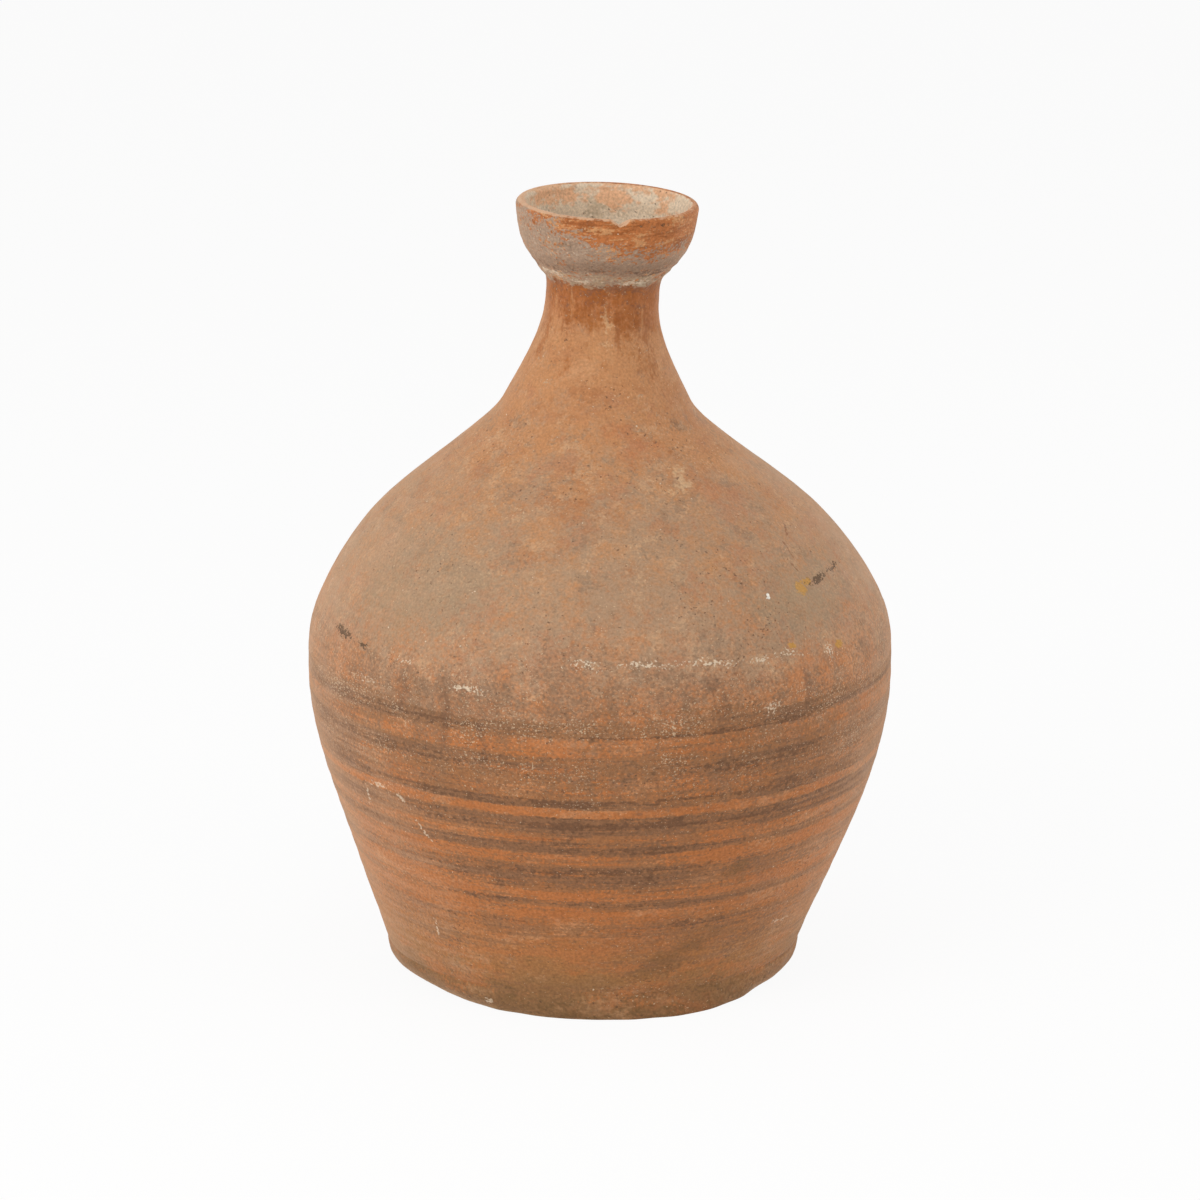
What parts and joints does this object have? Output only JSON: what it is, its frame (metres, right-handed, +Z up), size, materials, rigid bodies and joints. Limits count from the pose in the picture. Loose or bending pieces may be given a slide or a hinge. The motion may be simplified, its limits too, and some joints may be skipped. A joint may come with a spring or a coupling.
{
  "type": "wine jug",
  "caption": "Wheel-thrown earthenware wine jug with a broad belly, sloping shoulder, narrow leaning neck and cup-shaped mouth, luted together from thrown sections on a flat base.",
  "frame": {"origin": "centre of the underside, on the surface the jug stands on, below the axis of the belly", "axes": "+Z up along the axis of the belly, -Y towards the side that the picture shows, +X to its right, the way the neck leans"},
  "size_m": [0.2478, 0.2478, 0.3314],
  "materials": {
    "foot_clay": "unglazed earthenware, olive brown, worn at the edge",
    "body_clay": "unglazed earthenware, brown with darker and orange throwing bands and cream grit",
    "shoulder_clay": "unglazed earthenware, mottled tan, warm towards the neck",
    "neck_clay": "unglazed earthenware, orange brown with darker runs",
    "cup_clay": "unglazed earthenware, orange with a cream-grey crust",
    "luting_slip": "cream gritty slip, dry matt"
  },
  "bodies": {
    "root": {"base_disc": "foot_clay", "foot_luting": "luting_slip", "lower_body": "body_clay", "belly_luting": "luting_slip", "shoulder": "shoulder_clay", "neck_luting": "luting_slip", "neck": "neck_clay", "mouth_luting": "luting_slip", "mouth_cup": "cup_clay"}
  },
  "joints": []
}
